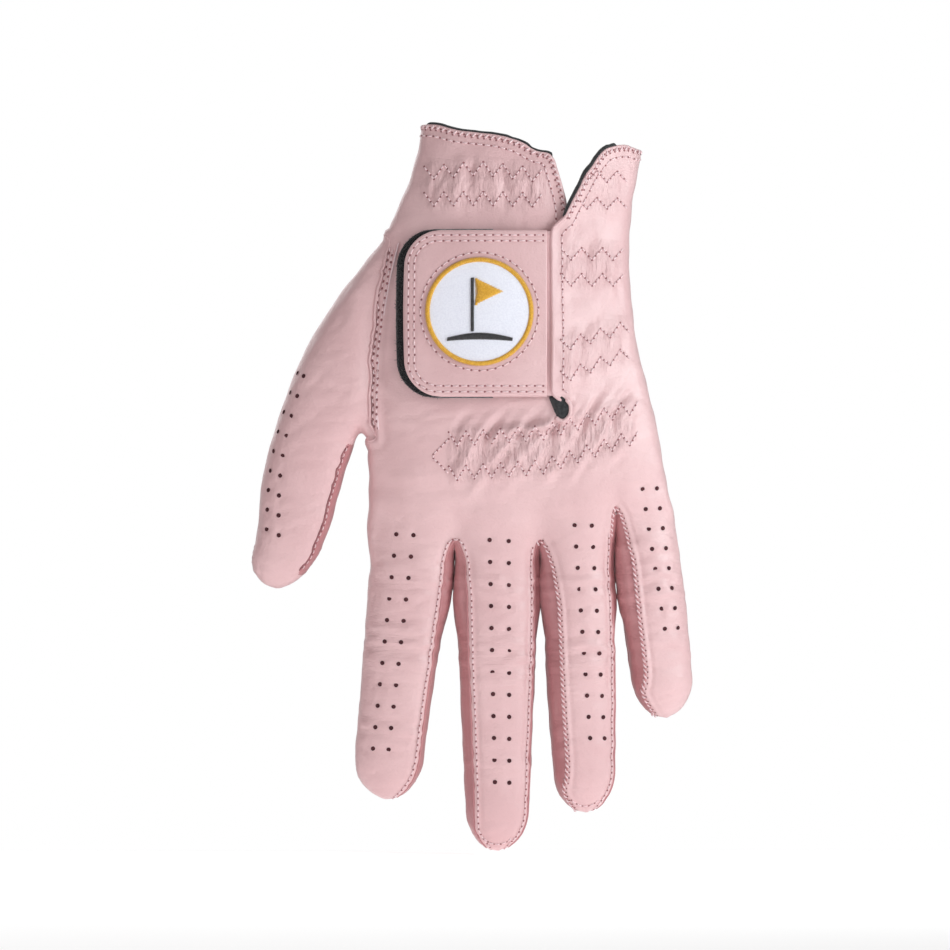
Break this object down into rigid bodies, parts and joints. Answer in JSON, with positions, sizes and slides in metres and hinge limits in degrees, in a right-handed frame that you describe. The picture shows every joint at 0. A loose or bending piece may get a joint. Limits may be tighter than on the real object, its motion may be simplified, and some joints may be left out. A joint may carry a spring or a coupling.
{
  "type": "golf glove",
  "caption": "Left-hand soft leather golf glove with open back, elastic gathers, perforated fingers and a badge-bearing hook-and-loop closure tab.",
  "frame": {"origin": "middle of the flat palm, on its outer face", "axes": "+Z towards the cuff with the fingers down, +Y out of the palm, +X towards the little finger"},
  "size_m": [0.1144, 0.0287, 0.1891],
  "materials": {
    "leather": "soft matt",
    "wall_leather": "soft matt",
    "dark_knit": "knitted",
    "elastic": "woven",
    "loop_pile": "brushed pile",
    "hook_tape": "moulded hooks",
    "thread": "spun thread",
    "twill": "twill weave",
    "gold_embroidery": "satin stitch",
    "dark_embroidery": "satin stitch"
  },
  "bodies": {
    "hand": {"cuff_binding": "dark_knit", "cuff_elastic": "elastic", "flap_binding": "dark_knit", "flap_lower_elastic": "elastic", "flap_top_elastic": "elastic", "flap_upper_elastic": "elastic", "hand_leather": "leather", "hand_thumb_seam_thread": "thread", "index_middle_fourchette": "wall_leather", "keyhole_patch": "dark_knit", "knuckle_elastic": "elastic", "loop_patch": "loop_pile", "middle_ring_fourchette": "wall_leather", "ring_little_fourchette": "wall_leather"},
    "index_base": {"index_base_gusset_middle_side": "wall_leather", "index_base_leather": "leather"},
    "index_tip": {"index_tip_gusset_middle_side": "wall_leather", "index_tip_leather": "leather"},
    "little_base": {"little_base_gusset_ring_side": "wall_leather", "little_base_leather": "leather"},
    "little_tip": {"little_tip_gusset_ring_side": "wall_leather", "little_tip_leather": "leather"},
    "middle_base": {"middle_base_back_leather": "leather", "middle_base_gusset_index_side": "wall_leather", "middle_base_gusset_ring_side": "wall_leather", "middle_base_palm_leather": "leather"},
    "middle_tip": {"middle_tip_back_leather": "leather", "middle_tip_gusset_index_side": "wall_leather", "middle_tip_gusset_ring_side": "wall_leather", "middle_tip_palm_leather": "leather"},
    "ring_base": {"ring_base_back_leather": "leather", "ring_base_gusset_little_side": "wall_leather", "ring_base_gusset_middle_side": "wall_leather", "ring_base_palm_leather": "leather"},
    "ring_tip": {"ring_tip_back_leather": "leather", "ring_tip_gusset_little_side": "wall_leather", "ring_tip_gusset_middle_side": "wall_leather", "ring_tip_palm_leather": "leather"},
    "tab": {"tab_badge_border": "gold_embroidery", "tab_badge_ground": "dark_embroidery", "tab_badge_pennant": "gold_embroidery", "tab_badge_pole": "dark_embroidery", "tab_badge_thread": "thread", "tab_badge_twill": "twill", "tab_edge_thread": "thread", "tab_hook_patch": "hook_tape", "tab_leather": "leather"},
    "thumb_base": {"thumb_base_leather": "leather"},
    "thumb_tip": {"thumb_tip_leather": "leather"}
  },
  "joints": [
    {"name": "index_knuckle", "type": "hinge", "parent": "hand", "child": "index_base", "pos_m": [-0.02588, 0, -0.02645], "axis": [1, 0, 0], "range_deg": [0, 80], "stiffness_Nm_per_rad": 0.004},
    {"name": "index_middle_joint", "type": "hinge", "parent": "index_base", "child": "index_tip", "pos_m": [-0.02797, 0, -0.04534], "axis": [1, 0, 0], "range_deg": [0, 90], "stiffness_Nm_per_rad": 0.004},
    {"name": "middle_knuckle", "type": "hinge", "parent": "hand", "child": "middle_base", "pos_m": [-0.00358, 0, -0.0267], "axis": [1, 0, 0], "range_deg": [0, 80], "stiffness_Nm_per_rad": 0.004},
    {"name": "middle_middle_joint", "type": "hinge", "parent": "middle_base", "child": "middle_tip", "pos_m": [-0.00352, 0, -0.0497], "axis": [1, 0, 0], "range_deg": [0, 90], "stiffness_Nm_per_rad": 0.004},
    {"name": "ring_knuckle", "type": "hinge", "parent": "hand", "child": "ring_base", "pos_m": [0.01719, 0, -0.027], "axis": [1, 0, 0], "range_deg": [0, 80], "stiffness_Nm_per_rad": 0.004},
    {"name": "ring_middle_joint", "type": "hinge", "parent": "ring_base", "child": "ring_tip", "pos_m": [0.0179, 0, -0.04698], "axis": [1, 0, 0], "range_deg": [0, 90], "stiffness_Nm_per_rad": 0.004},
    {"name": "little_knuckle", "type": "hinge", "parent": "hand", "child": "little_base", "pos_m": [0.03489, 0, -0.01735], "axis": [1, 0, 0], "range_deg": [0, 80], "stiffness_Nm_per_rad": 0.004},
    {"name": "little_middle_joint", "type": "hinge", "parent": "little_base", "child": "little_tip", "pos_m": [0.03644, 0, -0.03126], "axis": [1, 0, 0], "range_deg": [0, 90], "stiffness_Nm_per_rad": 0.004},
    {"name": "thumb_fold", "type": "hinge", "parent": "hand", "child": "thumb_base", "pos_m": [-0.026, 0, 0.034], "axis": [0, 0, -1], "range_deg": [0, 45], "stiffness_Nm_per_rad": 0.004},
    {"name": "thumb_bend", "type": "hinge", "parent": "thumb_base", "child": "thumb_tip", "pos_m": [-0.0441, -0.0089, -0.0072], "axis": [0, -1, 0], "range_deg": [0, 35], "stiffness_Nm_per_rad": 0.004},
    {"name": "tab_open", "type": "hinge", "parent": "hand", "child": "tab", "pos_m": [0.0096, -0.02575, 0.04065], "axis": [0, 0.0633, 0.998], "range_deg": [0, 150], "stiffness_Nm_per_rad": 0.004}
  ]
}
